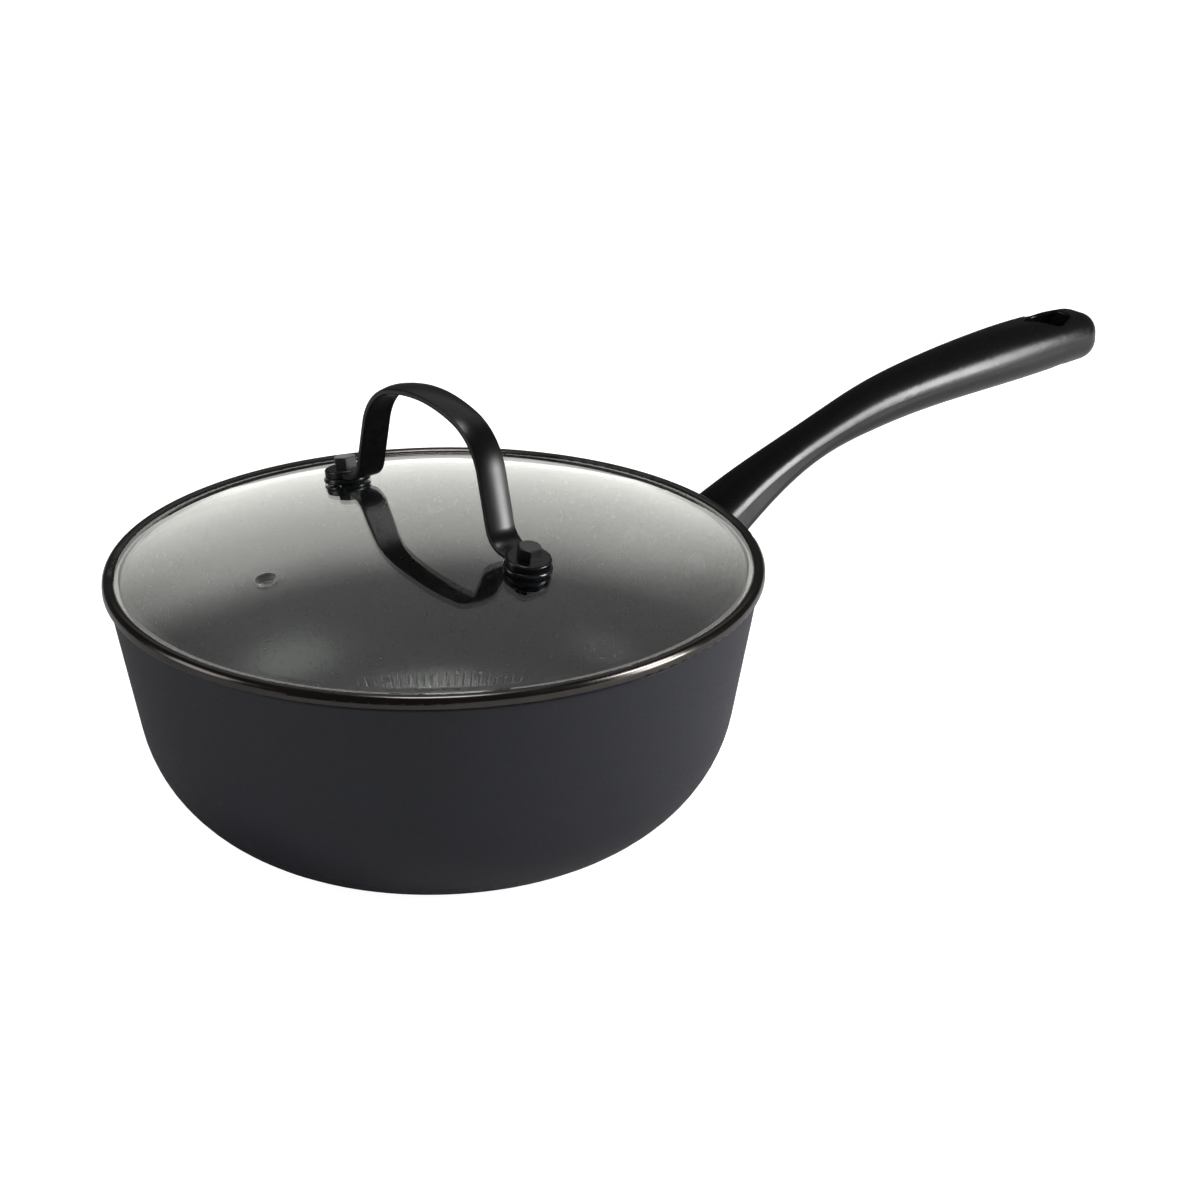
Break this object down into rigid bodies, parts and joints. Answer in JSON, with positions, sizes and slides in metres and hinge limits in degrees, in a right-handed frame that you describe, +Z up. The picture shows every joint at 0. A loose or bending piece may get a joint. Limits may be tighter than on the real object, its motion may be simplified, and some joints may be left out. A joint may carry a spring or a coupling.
{
  "type": "saucepan with glass lid",
  "caption": "Round-bottomed saucepan with a long arched handle and a lift-off domed glass lid with a strap handle and a steam vent.",
  "frame": {"origin": "centre of the base, on the surface that the pan stands on", "axes": "+Z up along the pan's axis, +X along the handle, +Y to the left of the handle seen from the pan"},
  "size_m": [0.4725, 0.245, 0.167],
  "materials": {
    "pan_coating": "matt dark blue-grey non-stick coating with a fine pale speckle, on forged aluminium",
    "disc_steel": "brushed magnetic steel",
    "bracket_metal": "satin black on cast aluminium",
    "rivet_metal": "coated like the pan's inside, on aluminium",
    "grip_plastic": "soft satin black, phenolic resin",
    "screw_steel": "zinc plated",
    "lid_glass": "clear toughened glass with a faint grey-green tint",
    "rim_steel": "polished dark gunmetal stainless steel",
    "strap_metal": "satin black powder coat on cast metal",
    "gasket_rubber": "glossy black silicone",
    "washer_steel": "plain stainless steel",
    "bolt_black": "matt black",
    "nut_steel": "polished stainless steel"
  },
  "bodies": {
    "pan": {"pan_shell": "pan_coating", "induction_disc": "disc_steel", "handle_bracket": "bracket_metal", "rivet_left": "rivet_metal", "rivet_right": "rivet_metal", "handle_grip": "grip_plastic", "handle_screw": "screw_steel"},
    "lid": {"lid_glass": "lid_glass", "lid_rim": "rim_steel", "lid_handle": "strap_metal", "upper_gasket_left": "gasket_rubber", "lower_gasket_left": "gasket_rubber", "washer_left": "washer_steel", "bolt_left": "bolt_black", "cap_nut_left": "nut_steel", "upper_gasket_right": "gasket_rubber", "lower_gasket_right": "gasket_rubber", "washer_right": "washer_steel", "bolt_right": "bolt_black", "cap_nut_right": "nut_steel"}
  },
  "joints": [
    {"name": "lid_lift", "type": "slide", "parent": "pan", "child": "lid", "axis": [0, 0, 1], "range_m": [0, 0.12]}
  ]
}
